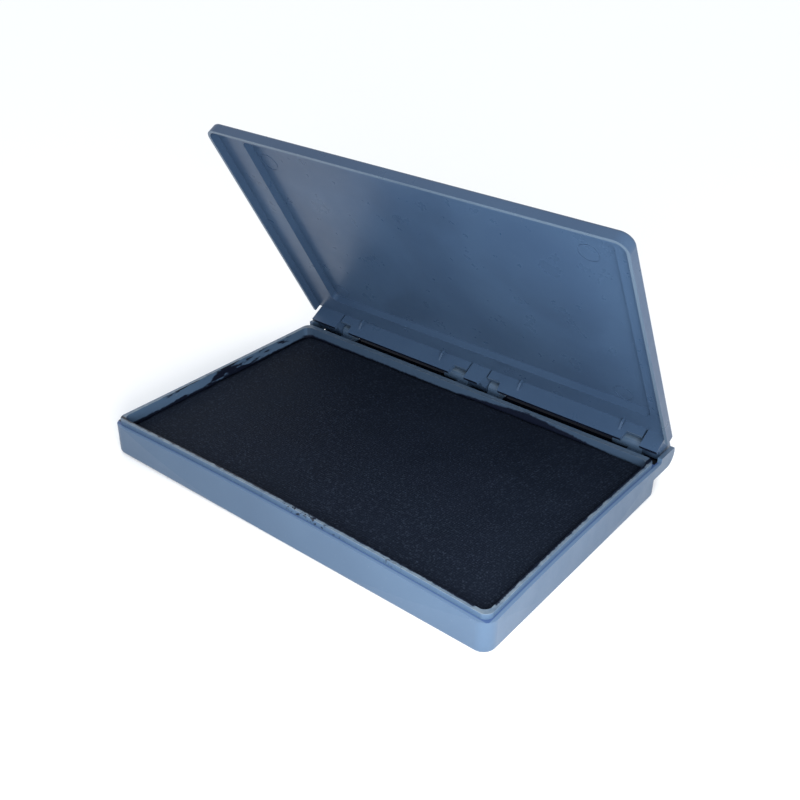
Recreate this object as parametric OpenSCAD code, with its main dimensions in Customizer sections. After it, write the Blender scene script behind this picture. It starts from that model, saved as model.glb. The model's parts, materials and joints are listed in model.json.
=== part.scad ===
// Office ink pad: a moulded tray and a hinged moulded lid around a cloth-covered felt pad.
// Millimetres, +Z up. The origin is the centre of the tray's underside; the hinge is at the rear, +Y.

/* [Tray] */
// Width of the tray and of the lid
tray_w = 115; // [100:1:130]
// Depth of the tray, without its hinge
tray_d = 72; // [62:1:82]
// Height of the ledge that the closed lid rests on
ledge_z = 8.3; // [7.5:0.1:10]
// Height of the raised lip above the ledge
lip_h = 1.4; // [1:0.1:1.8]
// Width of the ledge outside the lip
ledge_w = 0.95; // [0.9:0.05:1.2]
// Thickness of the lip at the front and the sides
lip_t = 1.0; // [0.9:0.1:1.4]
// Thickness of the rear wall
rear_wall_t = 1.5; // [1.2:0.1:1.8]
// Thickness of the floor
floor_t = 1.6; // [1.2:0.1:2]
// Plan radius of the tray's and the lid's corners
corner_r = 3.2; // [3:0.1:4]
// Radius of the tray's bottom edge
bottom_r = 1.2; // [0.8:0.1:1.6]
// How far the top of the front wall bows inwards at its middle
front_bow = 1.1; // [0.4:0.1:1.3]
// How far the top of the left wall bows inwards at its middle
left_bow = 0.1; // [0.1:0.05:0.6]
// How far the top of the right wall bows inwards at its middle
right_bow = 0.5; // [0.1:0.05:0.6]

/* [Hinge] */
// Distance of the hinge axis behind the tray's rear face
axis_back = 4.9; // [4.8:0.1:5.2]
// Offset of the hinge lugs and the lid's sunk panel from the tray's centre line
side_shift = 2.2; // [0:0.1:3]
// Width of the middle knuckle on the lid
knuckle_w = 5.8; // [5:0.1:8]
// Distance from the middle of the hinge to the inner face of each end knuckle
end_reach = 49.2; // [47:0.1:50]
// Width of each ear on the tray
ear_w = 3.8; // [3:0.1:4]
// Radius of the round end of each ear
ear_r = 1.9; // [1.7:0.05:1.9]
// Radius of the pivot studs
stud_r = 0.9; // [0.8:0.05:1]
// Running clearance between a stud and its bore
stud_play = 0.06; // [0.04:0.01:0.1]
// Thickness of the cheek at each end of the hinge
cheek_t = 1.1; // [1:0.1:1.3]
// Radius of the cheek's round rear end
cheek_r = 3.1; // [2.9:0.1:3.2]

/* [Lid] */
// Angle between the lid and the closed position
lid_open = 59.5; // [0:0.5:120]
// Opening angle at which the lid meets its stop
lid_stop = 120; // [100:1:130]
// Thickness of the lid's skirt
skirt_t = 0.75; // [0.6:0.05:0.75]
// Thickness of the lid's plate
plate_t = 0.9; // [0.8:0.05:1.1]
// Depth of the sunk panel on the inside of the lid
panel_sink = 2.0; // [1.5:0.1:2.4]
// Radius of the lid's outer edges
lid_edge_r = 0.8; // [0.6:0.05:0.85]
// Width of the sunk panel
panel_w = 101.2; // [96:0.2:102]
// Distance of the sunk panel from the lid's front face
panel_front = 3.9; // [3.5:0.1:7]

/* [Pad] */
// Height of the pad's top face
pad_top = 6.8; // [6.5:0.1:7.6]
// Thickness of the cloth cover
cloth_t = 0.4; // [0.3:0.05:0.5]
// Thickness of the stiff board under the felt
board_t = 1.2; // [1:0.1:1.5]
// Width of the cloth hem folded under the board
hem_w = 7; // [5:0.5:10]

/* [Hidden] */
$fn = 64;
e = 0.01;                                     // overlap that fuses touching shapes

half_w = tray_w / 2;
half_d = tray_d / 2;
lip_z = ledge_z + lip_h;
lip_out = half_w - ledge_w;                   // outer face of the lip at the sides
lip_in = lip_out - lip_t;                     // inner face of the lip at the sides
rear_face = half_d - 1.1;                     // rear face of the wall inside the hinge trough
rear_in = rear_face - rear_wall_t;
front_in = half_d - ledge_w - lip_t;
shelf_z = 5.15;                               // top of the shelf under the hinge
shelf_t = 0.7;
rim_top = 5.75;                               // top of the shelf's rear rim
rim_rear = half_d + axis_back + 2.27;
axis_y = half_d + axis_back;
axis_z = ledge_z - 0.05;
cheek_in = half_w - cheek_t;
cheek_top = ledge_z + 1.3;
cheek_front = half_d + 0.4;

// The lid is drawn closed around the hinge axis: Y' = 0 and Z' = 0 lie on the axis.
rim_z = ledge_z + 0.08 - axis_z;              // underside of the skirt
plate_z = 2.2;                                // inner face of the plate
side_top = plate_z + plate_t;
lid_front = -(axis_y + half_d);
skirt_end = -5.2;                             // the skirts stop in front of the cheeks
plate_rear = 1.0;                             // rear edge of the plate, behind the axis
plate_half = cheek_in - 0.4;                  // half width of the plate between the cheeks
strip_y = -5.05;                              // front face of the rear strip
strip_t = 1.0;
strip_low = -2.85;                            // lower edge of the rear strip
notch_z = -0.3;                               // top of the notches that clear the ears
panel_rear = -11.4;                           // rear edge of the sunk panel
panel_d = panel_rear - lid_front - panel_front;
panel_mid = panel_rear - panel_d / 2;
gap = 0.3;                                    // side gap between an ear and a knuckle
mark_r = 2.6;                                 // round moulding marks inside the lid
mark_deep = 0.1;
barrel_w = 4.4;                               // how far two of the ears' round ends run on sideways

knuckle_in = side_shift - knuckle_w / 2;
knuckle_out = side_shift + knuckle_w / 2;
left_in = side_shift - end_reach;
right_in = side_shift + end_reach;
// Each ear: [x of its left face, side that its stud comes from (1 = from the right)]
ears = [[left_in + gap, -1], [knuckle_in - gap - ear_w, 1],
        [knuckle_out + gap, -1], [right_in - gap - ear_w, 1]];

pad_half_w = lip_in - right_bow - 0.1;
pad_front = front_in - front_bow - 0.15;
pad_rear = rear_in - 0.15;
pad_d = pad_front + pad_rear;
pad_mid = (pad_rear - pad_front) / 2;
pad_low = floor_t + 0.02;
board_low = pad_low + cloth_t;
felt_low = board_low + board_t;

// A rectangle with round corners, centred on the origin.
module rounded_rect(w, d, r) {
    square([w - 2 * r, d], center = true);
    square([w, d - 2 * r], center = true);
    for (sx = [-1, 1], sy = [-1, 1])
        translate([sx * (w / 2 - r), sy * (d / 2 - r)]) circle(r);
}

// Half of a slab's cross-section: its lower outer edge is rounded with radius f.
module foot_profile(half, h, f) {
    square([half - f, h]);
    translate([0, f]) square([half, h - f]);
    translate([half - f, f]) circle(f);
}

// An upright slab with round corners of radius r, whose lower edge is rounded with radius f.
module soft_slab(w, d, h, r, f) {
    for (side = [0, 1]) {
        rotate([90, 0, 0]) linear_extrude(d - 2 * r, center = true)
            mirror([side, 0]) foot_profile(w / 2, h, f);
        rotate([90, 0, 90]) linear_extrude(w - 2 * r, center = true)
            mirror([side, 0]) foot_profile(d / 2, h, f);
    }
    for (quarter = [0 : 3]) {
        sx = (quarter == 0 || quarter == 3) ? 1 : -1;
        sy = quarter < 2 ? 1 : -1;
        translate([sx * (w / 2 - r), sy * (d / 2 - r), 0]) rotate([0, 0, 90 * quarter])
            rotate_extrude(angle = 90) foot_profile(r, h, f);
    }
}

// The same slab with its upper edge rounded; z = 0 is its lower face.
module soft_top_slab(w, d, h, r, f) {
    translate([0, 0, h]) mirror([0, 0, 1]) soft_slab(w, d, h, r, f);
}

// Radius of an arc with the given rise over the given half span.
function bow_radius(rise, half_span) = (half_span * half_span + rise * rise) / (2 * rise);

// The plan of the lip: front and sides bow inwards. grow moves every side outwards.
module lip_plan(grow, rear) {
    front = half_d - ledge_w;
    fr = bow_radius(front_bow, half_w);
    difference() {
        translate([0, (rear - front - grow) / 2])
            rounded_rect(2 * (lip_out + grow), front + grow + rear, corner_r - ledge_w + 0.1 + grow / 8);
        translate([0, -front - grow - fr + front_bow]) circle(fr, $fn = 720);
        for (s = [-1, 1]) {
            bow = s < 0 ? left_bow : right_bow;
            sr = bow_radius(bow, half_d);
            translate([s * (lip_out + grow + sr - bow), 0]) circle(sr, $fn = 720);
        }
    }
}

// Tool that leans the front and side walls inwards towards the middle of their top edges.
module wall_bow() {
    fr = bow_radius(front_bow, half_w - corner_r);
    tilt_f = atan(front_bow / ledge_z);
    translate([0, -half_d, 0]) rotate([-tilt_f, 0, 0]) translate([0, -fr, -2])
        cylinder(r = fr, h = 14, $fn = 720);
    for (s = [-1, 1]) {
        bow = s < 0 ? left_bow : right_bow;
        sr = bow_radius(bow, half_d - corner_r);
        translate([s * half_w, 0, 0]) rotate([0, -s * atan(bow / ledge_z), 0])
            translate([s * sr, 0, -2]) cylinder(r = sr, h = 14, $fn = 720);
    }
}

// Side view of a cheek: straight from the wall, round at the rear.
module cheek_profile() {
    low = axis_z - cheek_r;
    translate([half_d - 4, low]) square([axis_y - half_d + 4 - 0.6, cheek_r]);
    translate([cheek_front, low]) square([axis_y - 0.6 - cheek_front, cheek_top - low]);
    translate([axis_y - 0.6, axis_z]) intersection() {
        circle(cheek_r);
        translate([-cheek_r, -cheek_r]) square([2 * cheek_r, cheek_r + cheek_top - axis_z]);
    }
}

// Side view of the shelf under the hinge, with its upturned rear rim.
module shelf_profile() {
    low = shelf_z - shelf_t;
    translate([half_d - 1, low]) square([rim_rear - 1 - half_d + 1, shelf_t]);
    translate([rim_rear - 1, low + 1]) square([1, rim_top - low - 1]);
    intersection() {
        translate([rim_rear - 1, low + 1]) circle(1);
        translate([rim_rear - 1 - e, low]) square([1 + e, 1 + e]);
    }
}

// Side view of an ear, seen around the hinge axis: neck, round end and stop face.
module ear_profile() {
    root = rear_face - 0.5 - axis_y;
    low = -3.3;
    neck = -0.75;
    reach = 2.3;
    hold = plate_rear + 0.06;                 // distance of the stop face from the axis
    c = -cos(lid_stop);
    s = sin(lid_stop);
    circle(ear_r);
    polygon([[root, low], [reach, low], [reach, (-hold - reach * c) / s],
             [(-hold - neck * s) / c, neck], [root, neck]]);
    translate([-ear_r, neck - e]) square([ear_r, -neck]);
}

module along_x(x0, x1) {
    translate([x0, 0, 0]) rotate([90, 0, 90]) linear_extrude(x1 - x0) children();
}

module base_tray() {
    color([0.40, 0.50, 0.62]) difference() {
        union() {
            difference() {
                soft_slab(tray_w, tray_d, ledge_z, corner_r, bottom_r);
                wall_bow();
                // room for the lid's rear strip
                translate([-cheek_in, rear_face, shelf_z]) cube([2 * cheek_in, 9, 9]);
            }
            translate([0, 0, ledge_z - e]) linear_extrude(lip_h + e) lip_plan(0, rear_face);
            for (s = [-1, 1]) {
                x = s < 0 ? -half_w : cheek_in;
                along_x(x, x + cheek_t) cheek_profile();
            }
            along_x(-cheek_in - e, cheek_in + e) shelf_profile();
            for (ear = ears) translate([0, axis_y, axis_z]) {
                along_x(ear[0], ear[0] + ear_w) ear_profile();
                if (ear[1] > 0) along_x(ear[0] - barrel_w, ear[0] + e) circle(ear_r);
            }
        }
        // well for the pad
        translate([0, 0, floor_t]) linear_extrude(lip_z) lip_plan(-lip_t, rear_in);
        // pivot bores
        for (ear = ears) translate([ear[0] - 1, axis_y, axis_z]) rotate([0, 90, 0])
            cylinder(r = stud_r + stud_play, h = ear_w + 2);
    }
}

// Side view of a knuckle on the lid, closed, around the hinge axis.
module knuckle_profile() {
    circle(ear_r);
    translate([strip_y, -ear_r]) square([-strip_y, plate_z + ear_r + 0.3]);
    translate([0, 0]) square([plate_rear, plate_z + 0.3]);
    translate([strip_y, strip_low]) square([strip_t, -strip_low]);
}

// Side view of a gusset between the plate and the strip.
module gusset_profile() {
    polygon([[strip_y + 0.1, -0.7], [strip_y + 0.1, plate_z + 0.1],
             [strip_y - 0.85, plate_z + 0.1], [strip_y - 0.85, 1.2], [strip_y, -0.7]]);
}

// Notch that lets an ear through the strip; lean widens its mouth on the side away from the knuckle.
module strip_notch(x0, x1, lean_left) {
    mouth = 0.7;
    translate([0, strip_y - 1, 0]) rotate([90, 0, 180]) mirror([1, 0, 0]) linear_extrude(strip_t + 2)
        polygon([[x0 - (lean_left ? mouth : 0), strip_low - 1], [x1 + (lean_left ? 0 : mouth), strip_low - 1],
                 [x1, notch_z], [x0, notch_z]]);
}

// Bevels the lower right corner of the middle knuckle.
module knuckle_chamfer() {
    bevel_w = 1.4;
    bevel_h = 2.7;
    translate([0, strip_y - 1, 0]) rotate([90, 0, 180]) mirror([1, 0, 0]) linear_extrude(4)
        polygon([[knuckle_out + 0.1, strip_low - 1], [knuckle_out - bevel_w, strip_low - 1],
                 [knuckle_out - bevel_w, strip_low], [knuckle_out, strip_low + bevel_h],
                 [knuckle_out + 0.1, strip_low + bevel_h]]);
}

module lid_outside() {
    depth = skirt_end - lid_front;
    intersection() {
        translate([0, lid_front + depth / 2 + 5, rim_z])
            soft_top_slab(tray_w, depth + 10, side_top - rim_z, corner_r, lid_edge_r);
        translate([-half_w - 1, lid_front - 1, rim_z - 1]) cube([tray_w + 2, depth + 1, 10]);
    }
    translate([side_shift, panel_mid, plate_z + e])
        soft_top_slab(panel_w + 2 * plate_t, panel_d + 2 * plate_t, panel_sink + plate_t - e, 2.4, lid_edge_r);
    translate([-plate_half, skirt_end - e, plate_z]) cube([2 * plate_half, plate_rear - skirt_end + e, plate_t]);
}

module lid_inside() {
    inner_w = tray_w - 2 * skirt_t;
    inner_d = skirt_end - lid_front + 10;
    translate([0, lid_front + skirt_t + inner_d / 2, rim_z - 1])
        linear_extrude(plate_z - rim_z + 1) rounded_rect(inner_w, inner_d, corner_r - skirt_t);
    translate([side_shift, panel_mid, plate_z - 1])
        linear_extrude(panel_sink + 1) rounded_rect(panel_w, panel_d, 1.5);
}

// Four shallow round marks in the corners of the sunk panel.
module moulding_marks() {
    for (x = [-44.9, 44.9], y = [-65.3, -14.6])
        translate([x, y, plate_z + panel_sink - e]) difference() {
            cylinder(r = mark_r, h = mark_deep + e);
            translate([0, 0, -1]) cylinder(r = mark_r - 0.25, h = 3);
        }
}

module closed_lid() {
    difference() {
        union() {
            difference() {
                lid_outside();
                lid_inside();
                moulding_marks();
            }
            // rear strip, from one end knuckle to the other
            translate([left_in, strip_y, strip_low])
                cube([right_in - left_in, strip_t, plate_z - strip_low + 0.3]);
            along_x(-plate_half, left_in) knuckle_profile();
            along_x(knuckle_in, knuckle_out) knuckle_profile();
            along_x(right_in, plate_half) knuckle_profile();
            // small gussets between the plate and the strip
            for (x = [-39.5, -10.5, 15, 44.6]) along_x(x, x + 0.6) gusset_profile();
        }
        strip_notch(left_in, left_in + gap + ear_w + 0.5, false);
        strip_notch(knuckle_in - gap - ear_w - 0.5, knuckle_in, true);
        strip_notch(knuckle_out, knuckle_out + gap + ear_w + 0.5, false);
        strip_notch(right_in - gap - ear_w - 0.5, right_in, true);
        knuckle_chamfer();
        // slits beside the knuckles
        for (x = [left_in, knuckle_in - 0.5, knuckle_out, right_in - 0.5])
            translate([x, strip_y - 1, strip_low]) cube([0.5, strip_t + 1.5, plate_z - strip_low]);
    }
    // pivot studs
    for (ear = ears) {
        x = ear[1] < 0 ? ear[0] - gap - 1 : ear[0] + 0.4;
        translate([x, 0, 0]) rotate([0, 90, 0]) cylinder(r = stud_r, h = ear_w + gap + 0.6);
    }
}

module lid() {
    color([0.30, 0.40, 0.54]) translate([0, axis_y, axis_z]) rotate([-lid_open, 0, 0]) closed_lid();
}

module pad_board() {
    color([0.55, 0.50, 0.42]) translate([0, pad_mid, board_low]) linear_extrude(board_t - 0.01)
        rounded_rect(2 * (pad_half_w - cloth_t) - 0.1, pad_d - 2 * cloth_t - 0.1, 2);
}

module pad_felt() {
    color([0.10, 0.13, 0.22]) translate([0, pad_mid, felt_low])
        linear_extrude(pad_top - cloth_t - felt_low - 0.02)
        rounded_rect(2 * (pad_half_w - cloth_t) - 0.1, pad_d - 2 * cloth_t - 0.1, 2);
}

module pad_cloth() {
    inner_w = 2 * (pad_half_w - cloth_t);
    inner_d = pad_d - 2 * cloth_t;
    color([0.08, 0.11, 0.18]) translate([0, pad_mid, 0]) difference() {
        translate([0, 0, pad_low])
            soft_top_slab(2 * pad_half_w, pad_d, pad_top - pad_low, 2.5, 0.9);
        translate([0, 0, board_low - e])
            linear_extrude(pad_top - cloth_t - board_low) rounded_rect(inner_w, inner_d, 2.1);
        translate([0, 0, pad_low - 1])
            linear_extrude(3) rounded_rect(inner_w - 2 * hem_w, inner_d - 2 * hem_w, 1);
    }
}

base_tray();
lid();
pad_board();
pad_felt();
pad_cloth();
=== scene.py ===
"""Looks for the office ink pad: materials, the inked cloth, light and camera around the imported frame."""

import json
import math

import bpy
import numpy as np
from mathutils import Matrix, Vector


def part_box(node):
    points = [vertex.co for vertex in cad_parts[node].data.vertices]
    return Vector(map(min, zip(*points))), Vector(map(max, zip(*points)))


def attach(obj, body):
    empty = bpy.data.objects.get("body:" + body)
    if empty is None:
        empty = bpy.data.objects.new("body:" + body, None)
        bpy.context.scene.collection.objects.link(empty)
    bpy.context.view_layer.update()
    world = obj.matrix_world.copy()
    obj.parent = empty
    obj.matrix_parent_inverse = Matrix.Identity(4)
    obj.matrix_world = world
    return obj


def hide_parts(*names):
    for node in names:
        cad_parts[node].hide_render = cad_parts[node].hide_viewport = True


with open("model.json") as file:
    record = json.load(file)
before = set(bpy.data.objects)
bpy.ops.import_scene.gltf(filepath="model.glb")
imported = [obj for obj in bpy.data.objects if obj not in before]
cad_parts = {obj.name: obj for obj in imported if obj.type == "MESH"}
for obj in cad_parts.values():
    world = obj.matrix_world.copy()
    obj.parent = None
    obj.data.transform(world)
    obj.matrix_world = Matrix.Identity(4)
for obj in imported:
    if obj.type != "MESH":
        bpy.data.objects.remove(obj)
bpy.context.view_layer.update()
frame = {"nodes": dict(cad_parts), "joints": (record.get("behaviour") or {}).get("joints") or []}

MM = 0.001


# ---------------------------------------------------------------- camera, light and floor

CAMERA_AT = Vector((132.9, -158.8, 143.0)) * MM
CAMERA_YAW = math.radians(38.54)
CAMERA_PITCH = math.radians(30.58)
CAMERA_ROLL = math.radians(0.79)
CAMERA_LENS_MM = 45.3
CAMERA_SENSOR_MM = 36.0
CAMERA_NEAR = 0.01

WORLD_COLOUR = (0.93, 0.96, 1.0, 1)
WORLD_STRENGTH = 1.06

FLOOR_COLOUR = (0.98, 0.98, 0.98, 1)
FLOOR_ROUGHNESS = 0.9
FLOOR_SIZE = 6
FLOOR_DROP = 0.0001

KEY_AT = Vector((0.142, -0.145, 0.068))
KEY_AIM = Vector((0.05, -0.04, 0.0))
KEY_SIZE = 0.11
KEY_WATTS = 0.70
KEY_COLOUR = (1.0, 0.99, 0.97)


def add_camera():
    look = Vector((-math.sin(CAMERA_YAW) * math.cos(CAMERA_PITCH),
                   math.cos(CAMERA_YAW) * math.cos(CAMERA_PITCH),
                   -math.sin(CAMERA_PITCH)))
    level = Vector((math.cos(CAMERA_YAW), math.sin(CAMERA_YAW), 0))
    above = level.cross(look)
    side = level * math.cos(CAMERA_ROLL) + above * math.sin(CAMERA_ROLL)
    up = above * math.cos(CAMERA_ROLL) - level * math.sin(CAMERA_ROLL)
    data = bpy.data.cameras.new("camera")
    data.lens = CAMERA_LENS_MM
    data.sensor_width = CAMERA_SENSOR_MM
    data.clip_start = CAMERA_NEAR
    camera = bpy.data.objects.new("camera", data)
    bpy.context.scene.collection.objects.link(camera)
    turn = Matrix((side, up, -look)).transposed().to_4x4()
    camera.matrix_world = Matrix.Translation(CAMERA_AT) @ turn
    bpy.context.scene.camera = camera


def add_world():
    world = bpy.data.worlds.new("studio")
    bpy.context.scene.world = world
    world.use_nodes = True
    back = world.node_tree.nodes["Background"]
    back.inputs["Color"].default_value = WORLD_COLOUR
    back.inputs["Strength"].default_value = WORLD_STRENGTH


def add_floor():
    bpy.ops.mesh.primitive_plane_add(size=FLOOR_SIZE, location=(0, 0, -FLOOR_DROP))
    floor = bpy.context.object
    floor.name = "floor"
    paper = bpy.data.materials.new("floor_paper")
    paper.use_nodes = True
    shader = paper.node_tree.nodes["Principled BSDF"]
    shader.inputs["Base Color"].default_value = FLOOR_COLOUR
    shader.inputs["Roughness"].default_value = FLOOR_ROUGHNESS
    floor.data.materials.append(paper)


def add_key_light():
    """A soft square lamp, low in front on the right."""
    data = bpy.data.lights.new("key", "AREA")
    data.shape = "SQUARE"
    data.size = KEY_SIZE
    data.energy = KEY_WATTS
    data.color = KEY_COLOUR
    lamp = bpy.data.objects.new("key", data)
    bpy.context.scene.collection.objects.link(lamp)
    lamp.location = KEY_AT
    lamp.visible_camera = False
    lamp.rotation_euler = (KEY_AIM - KEY_AT).to_track_quat("-Z", "Y").to_euler()


bpy.context.scene.view_settings.view_transform = "Standard"
add_camera()
add_world()
add_floor()
add_key_light()


# ---------------------------------------------------------------- node trees in short spellings

class Nodes:
    """A material and short spellings for building its node tree."""

    def __init__(self, name):
        self.mat = bpy.data.materials.new(name)
        self.mat.use_nodes = True
        self.tree = self.mat.node_tree
        self.shader = self.tree.nodes["Principled BSDF"]
        self.coords = self.tree.nodes.new("ShaderNodeTexCoord")

    def join(self, source, target):
        self.tree.links.new(source, target)

    def fill(self, socket, value):
        if isinstance(value, bpy.types.NodeSocket):
            self.join(value, socket)
        else:
            socket.default_value = value

    def math(self, operation, a, b=0.0):
        node = self.tree.nodes.new("ShaderNodeMath")
        node.operation = operation
        self.fill(node.inputs[0], a)
        self.fill(node.inputs[1], b)
        return node.outputs[0]

    def plus(self, a, b):
        return self.math("ADD", a, b)

    def minus(self, a, b):
        return self.math("SUBTRACT", a, b)

    def product(self, first, *others):
        for other in others:
            first = self.math("MULTIPLY", first, other)
        return first

    def largest(self, first, *others):
        for other in others:
            first = self.math("MAXIMUM", first, other)
        return first

    def size_of(self, value):
        return self.math("ABSOLUTE", value)

    def place(self, scale=(1, 1, 1), turn=(0, 0, 0)):
        node = self.tree.nodes.new("ShaderNodeMapping")
        self.join(self.coords.outputs["Object"], node.inputs["Vector"])
        node.inputs["Scale"].default_value = scale
        node.inputs["Rotation"].default_value = turn
        return node.outputs["Vector"]

    def noise(self, scale, detail=3.0, rough=0.5, vector=None, distortion=0.0):
        node = self.tree.nodes.new("ShaderNodeTexNoise")
        self.join(vector or self.coords.outputs["Object"], node.inputs["Vector"])
        node.inputs["Scale"].default_value = scale
        node.inputs["Detail"].default_value = detail
        node.inputs["Roughness"].default_value = rough
        node.inputs["Distortion"].default_value = distortion
        return node.outputs["Fac"]

    def remap(self, value, low, high, to_low=0.0, to_high=1.0):
        """to_low up to low, to_high from high on, and a straight ramp between them."""
        node = self.tree.nodes.new("ShaderNodeMapRange")
        node.clamp = True
        self.fill(node.inputs["Value"], value)
        node.inputs["From Min"].default_value = low
        node.inputs["From Max"].default_value = high
        node.inputs["To Min"].default_value = to_low
        node.inputs["To Max"].default_value = to_high
        return node.outputs["Result"]

    def below(self, value, low, high):
        """1 up to low, fading to 0 at high."""
        return self.remap(value, low, high, 1.0, 0.0)

    def band(self, value, low, high, soft):
        """1 inside low..high, fading over soft on both sides of each limit."""
        rise = self.remap(value, low - soft, low + soft)
        fall = self.below(value, high - soft, high + soft)
        return self.product(rise, fall)

    def mix(self, factor, a, b):
        node = self.tree.nodes.new("ShaderNodeMix")
        node.data_type = "RGBA"
        self.fill(node.inputs[0], factor)
        self.fill(node.inputs[6], a)
        self.fill(node.inputs[7], b)
        return node.outputs[2]

    def bump(self, height, strength, distance, under=None):
        node = self.tree.nodes.new("ShaderNodeBump")
        node.inputs["Strength"].default_value = strength
        node.inputs["Distance"].default_value = distance
        self.join(height, node.inputs["Height"])
        if under is not None:
            self.join(under, node.inputs["Normal"])
        return node.outputs["Normal"]

    def split(self):
        node = self.tree.nodes.new("ShaderNodeSeparateXYZ")
        self.join(self.coords.outputs["Object"], node.inputs[0])
        return node.outputs

    def facing(self, direction):
        """Cosine between the surface's normal and a direction in the object's frame."""
        node = self.tree.nodes.new("ShaderNodeVectorMath")
        node.operation = "DOT_PRODUCT"
        self.join(self.coords.outputs["Normal"], node.inputs[0])
        node.inputs[1].default_value = direction
        return node.outputs["Value"]

    def set(self, **sockets):
        for name, value in sockets.items():
            self.fill(self.shader.inputs[name.replace("_", " ")], value)


# ---------------------------------------------------------------- measures of the tray and the lid

TRAY_LOW, TRAY_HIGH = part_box("base_tray")
HALF_W = TRAY_HIGH.x
HALF_D = -TRAY_LOW.y
# From the tray's outer faces to the well, and how far three of the well's walls bow inwards
SIDE_WALL = 0.00195
REAR_WALL = 0.0026
FRONT_BOW = 0.0011
RIGHT_BOW = 0.0005
LEFT_BOW = 0.0001
WELL_X = HALF_W - SIDE_WALL
WELL_FRONT = SIDE_WALL - HALF_D
WELL_REAR = HALF_D - REAR_WALL
CHEEK_IN = HALF_W - 0.0011
LEDGE_TOP = 0.0083
LIP_TOP = 0.0097

# The closing limit of the hinge is as far from rest as the lid stands open
HINGE = frame["joints"][0]
AXIS_Y, AXIS_Z = HINGE["pos_m"][1:]
LID_OPEN = -math.radians(HINGE["range_deg"][0])
# The way that the inside of the lid's plate and the lower edge of its rear strip look
LID_UNDERSIDE = (0.0, -math.sin(LID_OPEN), -math.cos(LID_OPEN))
# The skirt's rim as a height along the lid's own up direction
RIM_ABOVE_AXIS = 0.00013
RIM_PLANE = AXIS_Z * math.cos(LID_OPEN) + AXIS_Y * math.sin(LID_OPEN) + RIM_ABOVE_AXIS


# ---------------------------------------------------------------- moulded plastic

PLASTIC_BLUE = (0.045, 0.080, 0.136, 1)
PLASTIC_PALE = (0.052, 0.091, 0.151, 1)
PLASTIC_ROUGHNESS = 0.34
PLASTIC_SHINE = 0.30
# The lid's blues are darker copies of the tray's plastic: painted shade over the whole lid
LID_BLUE_SHADED = (0.031, 0.058, 0.109, 1)
LID_PALE_SHADED = (0.037, 0.068, 0.123, 1)
LID_ROUGHNESS = 0.30
LID_SHINE = 0.24
# The specular level in the hinge trough, lowered with its painted shade
SHADED_TROUGH_SHINE = 0.02
DUST = (0.42, 0.46, 0.50, 1)
# Near black, used for the ink and for painted shade
INK_AND_SHADE = (0.004, 0.006, 0.014, 1)
# A painted highlight on the lip's top
LIP_HIGHLIGHT_COLOUR = (0.26, 0.31, 0.34, 1)
# A painted highlight on the ledge's top and painted shade in its inner corner
LEDGE_HIGHLIGHT = (0.150, 0.230, 0.360, 1)
LEDGE_CORNER_SHADE = (0.045, 0.085, 0.200, 1)
# A painted highlight on the lid's rim
RIM_HIGHLIGHT = (0.100, 0.138, 0.180, 1)

# Where ink lies on the tray, and painted shade in the hinge trough, in metres. Most pairs are distances
# outside a wall, or heights, between which they fade; SMEAR_MIDDLE, BLEED_SPAN, TROUGH_Y and TROUGH_Z are
# stretches along an axis.
# SMEAR_MORE is a share that thickens the smears in their middle.
RAGGED_SWING = 0.0011
OFF_PAD = (-0.0006, -0.0004)
CLEAR_OF_CORNER = (-0.0030, -0.0026)
FRONT_RIM = (0.00024, 0.00044)
RIGHT_RIM = (0.00030, 0.00050)
WALL_FACE = (0.00002, 0.00012)
SMEAR_MIDDLE = (-0.014, 0.011)
SMEAR_SOFT = 0.008
SMEAR_MORE = 0.12
TIDE_HEIGHT = (0.0068, 0.0071)
TIDE_SWING = 0.0012
BLEED_SPAN = (0.010, 0.034)
BLEED_SOFT = 0.012
BLEED_RISE = 0.0024
BLEED_HEIGHT = (0.0077, 0.0081)
TROUGH_Y = (0.0350, 0.04314)
TROUGH_Z = (0.0050, 0.0062)

# Where painted shade and painted highlights lie on the lid, in metres: the heights between which its rear
# strip ends, the stretch of the painted shade on that strip's lower edge, and the distances from the rim's
# plane between which the rim's painted highlight fades
STRIP_TOP = (0.0120, 0.0124)
STRIP_EDGE_Y = (0.0352, 0.0368)
OVER_RIM = (0.0006, 0.0008)


def plastic(n, colour, pale, roughness):
    """Polished moulding: faint flow mottling, fine dust and soft waviness."""
    mottle = n.noise(38, 4, 0.55, distortion=0.4)
    base = n.mix(n.remap(mottle, 0.35, 0.68), colour, pale)
    dust = n.remap(n.noise(1900, 2, 0.6), 0.70, 0.82, 0.0, 0.16)
    base = n.mix(dust, base, DUST)
    rub = n.remap(n.noise(160, 5, 0.65), 0.3, 0.75, roughness - 0.05, roughness + 0.09)
    wave = n.bump(n.noise(60, 1, 0.3), 0.10, 0.0006)
    return base, rub, wave


class TrayPlaces:
    """Heights and distances in metres that say where ink and wear lie on the tray."""

    def __init__(self, n):
        self.x, self.y, self.z = n.split()
        self.ragged = n.noise(420, 4, 0.7)
        self.stray = n.product(n.minus(self.ragged, 0.5), RAGGED_SWING)
        # how far outside each wall of the well; a negative distance is over the pad
        self.front = outside_bowed(n, self.x, n.product(self.y, -1.0), -WELL_FRONT, FRONT_BOW, HALF_W)
        self.right = outside_bowed(n, self.y, self.x, WELL_X, RIGHT_BOW, HALF_D)
        self.left = n.minus(n.product(self.x, -1.0), WELL_X)
        self.rear = n.minus(self.y, WELL_REAR)
        # 1 inside the well and on the lip around it, so that no ink mask crosses an outer wall
        self.within_x = n.below(n.size_of(self.x), WELL_X + 0.0004, WELL_X + 0.0005)
        self.within_y = n.band(self.y, WELL_FRONT - 0.0003, WELL_REAR + 0.0004, 0.0001)


def outside_bowed(n, along, across, edge, bow, half):
    """Distance outside a wall that stands at edge at its ends and bows inwards at its middle."""
    share = n.math("POWER", n.math("DIVIDE", along, half), 2.0)
    wall = n.plus(n.product(share, bow), edge - bow)
    return n.minus(across, wall)


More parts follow.
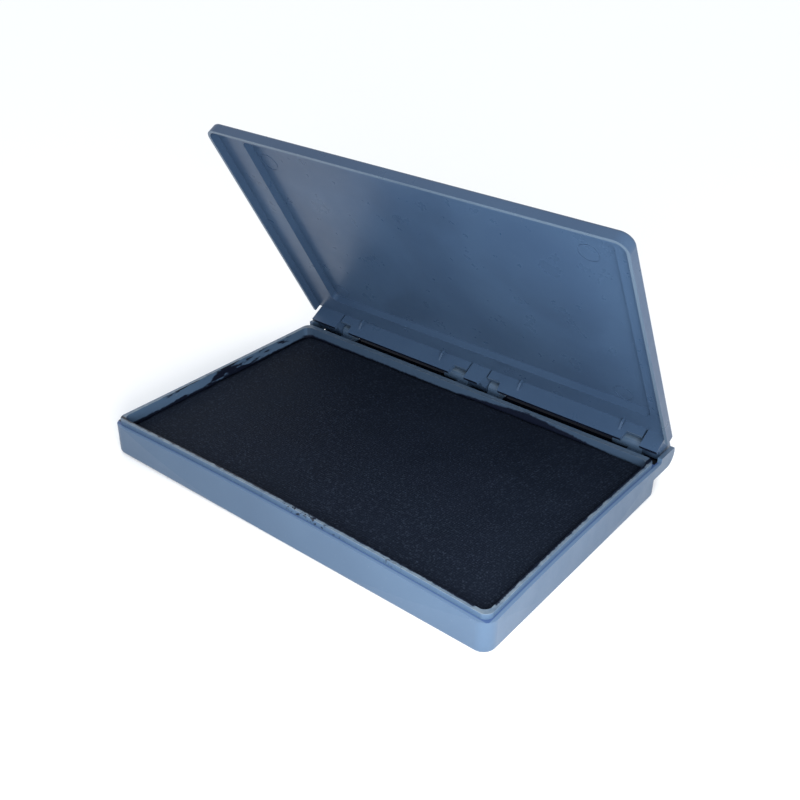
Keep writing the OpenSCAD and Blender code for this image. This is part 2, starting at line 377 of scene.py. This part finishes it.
def lip_rims(n, tray):
    """A ragged rim of ink on the inner half of the lip, in front and on the right."""
    on_lip = n.remap(tray.z, LEDGE_TOP - 0.0004, LEDGE_TOP + 0.0001)
    rims = []
    for wall, meets, reach in ((tray.front, tray.right, FRONT_RIM), (tray.right, tray.front, RIGHT_RIM)):
        edge = n.below(n.plus(wall, tray.stray), *reach)
        inside = n.product(n.remap(wall, *OFF_PAD), n.below(meets, *CLEAR_OF_CORNER))
        rims.append(n.product(edge, inside, on_lip))
    return n.largest(*rims)


def left_smears(n, tray):
    """Smears on the left wall, thickest in its middle third."""
    on_wall = n.product(n.below(tray.left, *WALL_FACE), n.remap(tray.left, *OFF_PAD))
    middle = n.band(tray.y, *SMEAR_MIDDLE, SMEAR_SOFT)
    streaks = n.noise(150, 4, 0.65, vector=n.place(scale=(1.0, 0.45, 2.2)))
    smear = n.remap(n.plus(streaks, n.product(middle, SMEAR_MORE)), 0.60, 0.64)
    return n.product(on_wall, tray.within_y, smear)


def tide_lines(n, tray):
    """A ragged tide line low on the left and rear walls."""
    level = n.plus(tray.z, n.product(n.minus(tray.ragged, 0.5), TIDE_SWING))
    wet = n.below(level, *TIDE_HEIGHT)
    lines = []
    for wall, within in ((tray.left, tray.within_y), (tray.rear, tray.within_x)):
        on_wall = n.product(n.below(wall, 0.0001, 0.0003), n.remap(wall, -0.0012, -0.0008))
        lines.append(n.product(within, on_wall, wet))
    return n.largest(*lines)


def rear_bleed(n, tray):
    """Ink that the pad has bled up the right half of the rear wall."""
    on_wall = n.product(n.below(n.plus(tray.rear, tray.stray), 0.0002, 0.0004),
                        n.remap(tray.y, 0.030, 0.032), tray.within_x)
    rise = n.product(n.band(tray.x, *BLEED_SPAN, BLEED_SOFT), BLEED_RISE)
    level = n.plus(n.minus(tray.z, rise), n.product(tray.ragged, TIDE_SWING))
    return n.product(on_wall, n.below(level, *BLEED_HEIGHT))


def front_specks(n, tray):
    """Specks of ink in loose clusters along the front lip."""
    specks = n.remap(n.noise(1300, 2, 0.5), 0.56, 0.60)
    clusters = n.remap(n.noise(75, 2, 0.5), 0.56, 0.60)
    near_lip = n.product(n.remap(tray.z, LEDGE_TOP, LEDGE_TOP + 0.0003), n.remap(tray.front, -0.0002, 0.0))
    return n.product(specks, clusters, near_lip)


def hinge_trough_shade(n, tray):
    """Painted shade: the trough under the hinge, between the two cheeks, darkened nearly to black."""
    low_and_behind = n.product(n.band(tray.y, *TROUGH_Y, 0.00002), n.band(tray.z, *TROUGH_Z, 0.00015))
    return n.product(low_and_behind, n.below(n.size_of(tray.x), CHEEK_IN - 0.00005, CHEEK_IN))


def paint_lip_highlight(n, tray):
    """A painted highlight on the lip's top, pale in places, less so at the rear."""
    top = n.remap(tray.z, LIP_TOP - 0.00012, LIP_TOP - 0.00004)
    patchy = n.remap(tray.ragged, 0.3, 0.7, 0.10, 0.50)
    at_rear = n.remap(tray.y, 0.0325, 0.0335, 1.0, 0.35)
    return n.product(top, patchy, at_rear)


def tray_material():
    n = Nodes("tray_plastic")
    base, rub, normal = plastic(n, PLASTIC_BLUE, PLASTIC_PALE, PLASTIC_ROUGHNESS)
    tray = TrayPlaces(n)
    # the ledge that the lid rests on: its up-facing top painted paler as a painted highlight, with painted
    # shade as a dark line in its inner corner
    on_ledge = n.product(n.band(tray.z, LEDGE_TOP - 0.00008, LEDGE_TOP + 0.00008, 0.00003),
                         n.facing((0, 0, 1)))
    base = n.mix(n.product(on_ledge, 0.55), base, LEDGE_HIGHLIGHT)
    outside = n.largest(tray.front, tray.right, tray.left)
    corner_shade = n.product(on_ledge, n.below(outside, 0.00115, 0.00135))
    base = n.mix(corner_shade, base, LEDGE_CORNER_SHADE)
    # painted shade darkens the inside of the rear wall
    rear_wall_shade = n.product(n.band(tray.rear, -0.0008, 0.0002, 0.0001), tray.within_x)
    base = n.mix(n.product(rear_wall_shade, 0.40), base, INK_AND_SHADE)
    # a painted highlight along the lip's top
    base = n.mix(paint_lip_highlight(n, tray), base, LIP_HIGHLIGHT_COLOUR)
    # the hinge trough is painted near black, with its specular level lowered: painted shade under the strip
    trough_shade = hinge_trough_shade(n, tray)
    ink_and_trough_shade = n.largest(lip_rims(n, tray), left_smears(n, tray), tide_lines(n, tray),
                    rear_bleed(n, tray), front_specks(n, tray), trough_shade)
    base = n.mix(ink_and_trough_shade, base, INK_AND_SHADE)
    n.set(Base_Color=base,
          Roughness=n.minus(rub, n.product(ink_and_trough_shade, 0.02)),
          Specular_IOR_Level=n.remap(trough_shade, 0.0, 1.0, PLASTIC_SHINE, SHADED_TROUGH_SHINE),
          Normal=normal)
    return n.mat


def lid_material():
    n = Nodes("lid_plastic")
    base, rub, normal = plastic(n, LID_BLUE_SHADED, LID_PALE_SHADED, LID_ROUGHNESS)
    _, y, z = n.split()
    underside = n.remap(n.facing(LID_UNDERSIDE), 0.7, 0.8)
    # a thin, blotchy darkening of the inside: partly old ink, partly painted reflections
    blotchy_ink_and_reflection = n.remap(n.noise(24, 4, 0.55, distortion=1.0), 0.42, 0.62, 0.0, 0.16)
    base = n.mix(n.product(blotchy_ink_and_reflection, underside), base, INK_AND_SHADE)
    # painted shade on the lower edge of the rear strip, which lies below the rest of the open lid
    strip_edge_shade = n.product(n.band(y, *STRIP_EDGE_Y, 0.0001), n.below(z, *STRIP_TOP))
    base = n.mix(n.product(underside, strip_edge_shade), base, INK_AND_SHADE)
    # the skirt's rim is painted paler, a painted highlight
    height = n.plus(n.product(z, math.cos(LID_OPEN)), n.product(y, math.sin(LID_OPEN)))
    rim_highlight_mask = n.product(underside, n.below(n.minus(height, RIM_PLANE), *OVER_RIM))
    base = n.mix(n.product(rim_highlight_mask, n.remap(z, *STRIP_TOP), 0.6), base, RIM_HIGHLIGHT)
    n.set(Base_Color=base, Roughness=rub, Specular_IOR_Level=LID_SHINE, Normal=normal)
    return n.mat


# ---------------------------------------------------------------- the pad's cloth, felt and board

CLOTH_DAMP = (0.0018, 0.0038, 0.0095, 1)
CLOTH_WET = (0.0032, 0.0058, 0.0130, 1)
CLOTH_THREAD = (0.014, 0.021, 0.034, 1)
CLOTH_LINT = (0.026, 0.036, 0.056, 1)
CLOTH_SHINE = 0.08
THREADS_SCALE = 520
THREADS_TURN = 0.05
FELT_DEEP = (0.008, 0.012, 0.026, 1)
FELT_FIBRE = (0.030, 0.042, 0.075, 1)
BOARD_DARK = (0.20, 0.165, 0.12, 1)
BOARD_PALE = (0.36, 0.31, 0.24, 1)


def threads(n, turn):
    """One set of parallel threads across the cloth."""
    wave = n.tree.nodes.new("ShaderNodeTexWave")
    wave.wave_type = "BANDS"
    wave.bands_direction = "X"
    n.join(n.place(turn=(0, 0, turn + THREADS_TURN)), wave.inputs["Vector"])
    wave.inputs["Scale"].default_value = THREADS_SCALE
    wave.inputs["Distortion"].default_value = 1.6
    wave.inputs["Detail"].default_value = 2
    wave.inputs["Detail Scale"].default_value = 0.6
    return wave.outputs["Fac"]


def cloth_material():
    """Plain-weave cotton soaked in ink: a fine grid of threads, wetter and drier patches, and lint."""
    n = Nodes("ink_cloth")
    warp = threads(n, 0.0)
    weft = threads(n, math.pi / 2)
    weave = n.plus(n.product(warp, 0.5), n.product(weft, 0.5))
    patches = n.noise(55, 5, 0.62, distortion=0.3)
    base = n.mix(n.remap(patches, 0.36, 0.66), CLOTH_DAMP, CLOTH_WET)
    base = n.mix(n.product(weave, 0.30), base, CLOTH_THREAD)
    lint = n.remap(n.noise(1900, 3, 0.7), 0.52, 0.72, 0.0, 0.75)
    base = n.mix(lint, base, CLOTH_LINT)
    tug = n.bump(n.noise(210, 4, 0.6), 0.12, 0.0003)
    n.set(Base_Color=base,
          Roughness=n.remap(patches, 0.3, 0.7, 0.70, 0.80),
          Specular_IOR_Level=CLOTH_SHINE,
          Normal=n.bump(weave, 0.45, 0.00012, under=tug))
    return n.mat


def felt_material():
    n = Nodes("ink_felt")
    fibres = n.noise(1500, 6, 0.8, distortion=1.5)
    n.set(Base_Color=n.mix(fibres, FELT_DEEP, FELT_FIBRE), Roughness=0.92, Normal=n.bump(fibres, 0.6, 0.0003))
    return n.mat


def board_material():
    n = Nodes("pad_board")
    pulp = n.noise(700, 5, 0.7, vector=n.place(scale=(0.3, 1.0, 1.0)))
    n.set(Base_Color=n.mix(pulp, BOARD_DARK, BOARD_PALE), Roughness=0.85, Normal=n.bump(pulp, 0.3, 0.0002))
    return n.mat


def dress(node, material):
    obj = frame["nodes"][node]
    obj.data.materials.clear()
    obj.data.materials.append(material)


dress("base_tray", tray_material())
dress("lid", lid_material())
dress("pad_felt", felt_material())
dress("pad_board", board_material())


# ---------------------------------------------------------------- the inked cloth cover

CLOTH_LOW, CLOTH_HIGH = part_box("pad_cloth")
FELT_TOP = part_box("pad_felt")[1].z
WELL_CENTRE = np.array([0.0, (WELL_REAR + WELL_FRONT) / 2])
WELL_HALF = np.array([WELL_X, (WELL_REAR - WELL_FRONT) / 2])
WALL_GAP = 0.00012
CORNER_R = 0.0024
GRID_X, GRID_Y = 200, 124
# How strongly the grid's rows crowd towards the edges, from 0 to 1
EDGE_WEIGHT = 0.35
CLOTH_THICK = 0.00030
HEM = 0.007

# The top, above the CAD cloth's own: at its middle, gained at the right and at the rear, and its crown
RISE = 0.00065
RISE_RIGHT = 0.00050
RISE_REAR = 0.00020
CROWN = 0.00035
# (height, pitch, seed) of the slow and the fine unevenness, and of the ruffle along the edge
UNEVEN_SLOW = (0.00010, 0.030, 3)
UNEVEN_FINE = (0.00004, 0.009, 5)
RUFFLE = (0.00016, 0.006, 11)
# The edge sinks from this share of the way out to the wall, by this much, and faster the further out
SINK_FROM = 0.955
SINK_DEPTH = 0.0008
SINK_POWER = 2.2
# Inside this share of the way out the felt lies below, and the cloth stays clear of it
FELT_REACH = 0.985
FELT_CLEAR = 0.00002
# The side turns down this far at once and has a ring at this height; the hem lies this far above
# the CAD cloth's underside
TURN_DOWN = 0.0008
SIDE_MIDDLE = 0.0045
HEM_GAP = 0.00004


def soft_waves(x, y, height, pitch, seed):
    """A sum of seven fixed sine waves: soft, repeatable unevenness of about the given height."""
    rng = np.random.default_rng(seed)
    total = np.zeros_like(x)
    for _ in range(7):
        angle, phase = rng.uniform(0, 2 * np.pi, 2)
        length = pitch * rng.uniform(0.6, 1.7)
        total += np.sin((x * np.cos(angle) + y * np.sin(angle)) * 2 * np.pi / length + phase)
    return height * total / 4.0


def to_plan(u, v):
    """Maps the square -1..1 to the well's plan, with round corners and the walls' bow."""
    reach = np.maximum(np.maximum(np.abs(u), np.abs(v)), 1e-9)
    half_x, half_y = WELL_HALF - WALL_GAP
    edge_x, edge_y = u / reach * half_x, v / reach * half_y
    in_x = np.abs(edge_x) - (half_x - CORNER_R)
    in_y = np.abs(edge_y) - (half_y - CORNER_R)
    corner = (in_x > 0) & (in_y > 0)
    length = np.maximum(np.hypot(in_x, in_y), 1e-9)
    round_x = np.where(corner, np.sign(edge_x) * (half_x - CORNER_R + in_x / length * CORNER_R), edge_x)
    round_y = np.where(corner, np.sign(edge_y) * (half_y - CORNER_R + in_y / length * CORNER_R), edge_y)
    # only the outermost rows follow the round corners
    weight = reach ** 10
    x = (u * half_x) * (1 - weight) + round_x * reach * weight
    y = (v * half_y) * (1 - weight) + round_y * reach * weight
    front = np.clip(-v, 0, 1) ** 3 * FRONT_BOW * (1 - (x / HALF_W) ** 2)
    right = np.clip(u, 0, 1) ** 3 * RIGHT_BOW * (1 - (y / HALF_D) ** 2)
    left = np.clip(-u, 0, 1) ** 3 * LEFT_BOW
    return x - right + left, y + WELL_CENTRE[1] + front, reach


def surface_height(x, y, reach):
    """Height of the cloth: it stands higher on the right, is crowned, and sinks at its edges."""
    across, along = x / HALF_W, y / HALF_D
    level = CLOTH_HIGH.z + RISE + RISE_RIGHT * across + RISE_REAR * along
    crown = CROWN * (1 - across ** 2) * (1 - along ** 2)
    uneven = soft_waves(x, y, *UNEVEN_SLOW) + soft_waves(x, y, *UNEVEN_FINE)
    edge = np.clip((reach - SINK_FROM) / (1 - SINK_FROM), 0, 1)
    top = level + crown + uneven - SINK_DEPTH * edge ** SINK_POWER + soft_waves(x, y, *RUFFLE) * edge
    on_felt = FELT_TOP + CLOTH_THICK + FELT_CLEAR
    return np.where(reach < FELT_REACH, np.maximum(top, on_felt), top)


def closer_at_ends(count):
    """count numbers from -1 to 1 that lie closer together near both ends."""
    even = np.linspace(-1, 1, count)
    return np.sin(even * math.pi / 2) * EDGE_WEIGHT + even * (1 - EDGE_WEIGHT)


def grid_faces():
    faces = []
    for row in range(GRID_Y - 1):
        for k in range(row * GRID_X, (row + 1) * GRID_X - 1):
            faces.append((k, k + 1, k + 1 + GRID_X, k + GRID_X))
    return faces


def grid_edge():
    """The grid's outermost points, once around."""
    last = (GRID_Y - 1) * GRID_X
    front = list(range(GRID_X))
    right = [(row + 1) * GRID_X - 1 for row in range(1, GRID_Y)]
    rear = list(range(last + GRID_X - 2, last - 1, -1))
    left = [row * GRID_X for row in range(GRID_Y - 2, 0, -1)]
    return front + right + rear + left


def ring_faces(ring, inner):
    """Faces from each ring of points to the next."""
    after = ring[1:] + ring[:1]
    inner_after = inner[1:] + inner[:1]
    return list(zip(ring, inner, inner_after, after))


def build_cover():
    """The cover as one sheet: the top, the turned-down side and the hem under the board."""
    u, v = np.meshgrid(closer_at_ends(GRID_X), closer_at_ends(GRID_Y))
    x, y, reach = to_plan(u, v)
    points = np.stack([x, y, surface_height(x, y, reach)], -1).reshape(-1, 3).tolist()
    faces = grid_faces()
    ring = grid_edge()
    edge = np.array([points[k] for k in ring])
    low = CLOTH_LOW.z
    # (how far in from the edge, height) of each ring down the side and under the board
    profile = ((0.0, edge[:, 2] - TURN_DOWN), (0.00006, SIDE_MIDDLE), (0.00010, low + 0.0007),
               (0.00045, low + 0.00015), (0.00120, low + HEM_GAP), (HEM, low + HEM_GAP))
    for inset, height in profile:
        plan = WELL_CENTRE + (edge[:, :2] - WELL_CENTRE) * (1 - inset / WELL_HALF)
        inner = list(range(len(points), len(points) + len(ring)))
        points += np.column_stack([plan, np.broadcast_to(height, len(ring))]).tolist()
        faces += ring_faces(ring, inner)
        ring = inner
    mesh = bpy.data.meshes.new("pad_cover")
    mesh.from_pydata(points, [], faces)
    mesh.update()
    mesh.polygons.foreach_set("use_smooth", [True] * len(mesh.polygons))
    mesh.materials.append(cloth_material())
    cover = bpy.data.objects.new("pad_cover", mesh)
    bpy.context.scene.collection.objects.link(cover)
    thick = cover.modifiers.new("thickness", "SOLIDIFY")
    thick.thickness = CLOTH_THICK
    thick.offset = -1
    return cover


cover = build_cover()
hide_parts("pad_cloth")
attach(cover, "tray")
